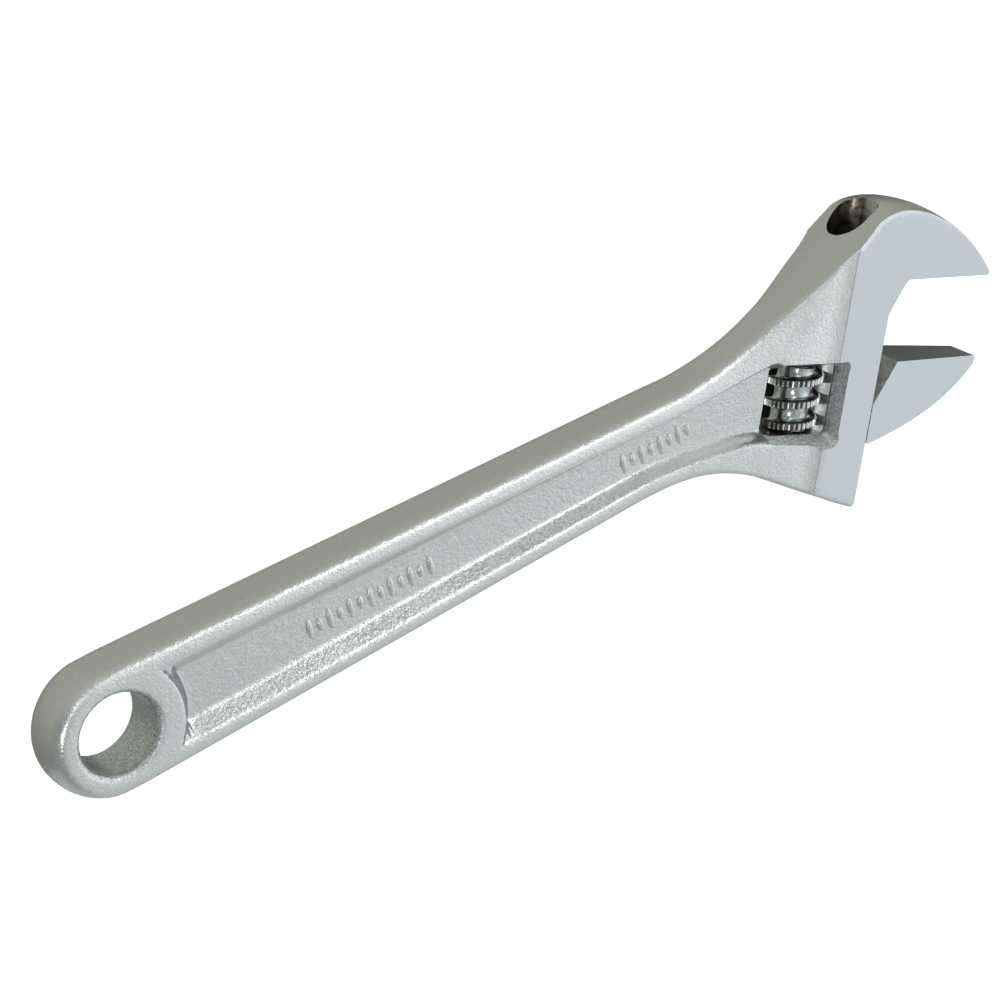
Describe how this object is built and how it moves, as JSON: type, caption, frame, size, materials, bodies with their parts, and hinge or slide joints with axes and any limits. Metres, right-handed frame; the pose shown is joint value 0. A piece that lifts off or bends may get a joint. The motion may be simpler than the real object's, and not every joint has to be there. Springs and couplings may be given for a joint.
{
  "type": "adjustable wrench",
  "caption": "Open-end adjustable wrench: forged recessed handle with a hang hole, angled head, and a hook jaw that slides as a knurled worm is turned.",
  "frame": {"origin": "centre of the hang hole, halfway through the handle's thickness", "axes": "+X along the handle to the head, +Z square to the handle's face, +Y to the fixed jaw's side"},
  "size_m": [0.2021, 0.0533, 0.0146],
  "materials": {
    "body_plate": "satin chrome plate over a forged skin, with polished band and jaw faces",
    "jaw_plate": "polished chrome plate on the side faces, ground grip face",
    "knurl_plate": "bright plated steel with knurled thread crests",
    "pin_steel": "turned steel",
    "spring_steel": "drawn spring wire"
  },
  "bodies": {
    "frame": {"body": "body_plate", "knurl_pin": "pin_steel", "knurl_spring": "spring_steel"},
    "jaw": {"sliding_jaw": "jaw_plate"},
    "knurl": {"knurl": "knurl_plate"}
  },
  "joints": [
    {"name": "jaw_slide", "type": "slide", "parent": "frame", "child": "jaw", "axis": [0.3907, 0.9205, 0], "range_m": [-0.009, 0.0154]},
    {"name": "knurl_spin", "type": "hinge", "parent": "frame", "child": "knurl", "pos_m": [0.14344, -0.00599, 0], "axis": [0.3907, 0.9205, 0], "range_deg": [-1386.5, 810.5]}
  ],
  "couplings": [
    {"joint": "knurl_spin", "follows": "jaw_slide", "rad_per_m": -1570.8}
  ]
}
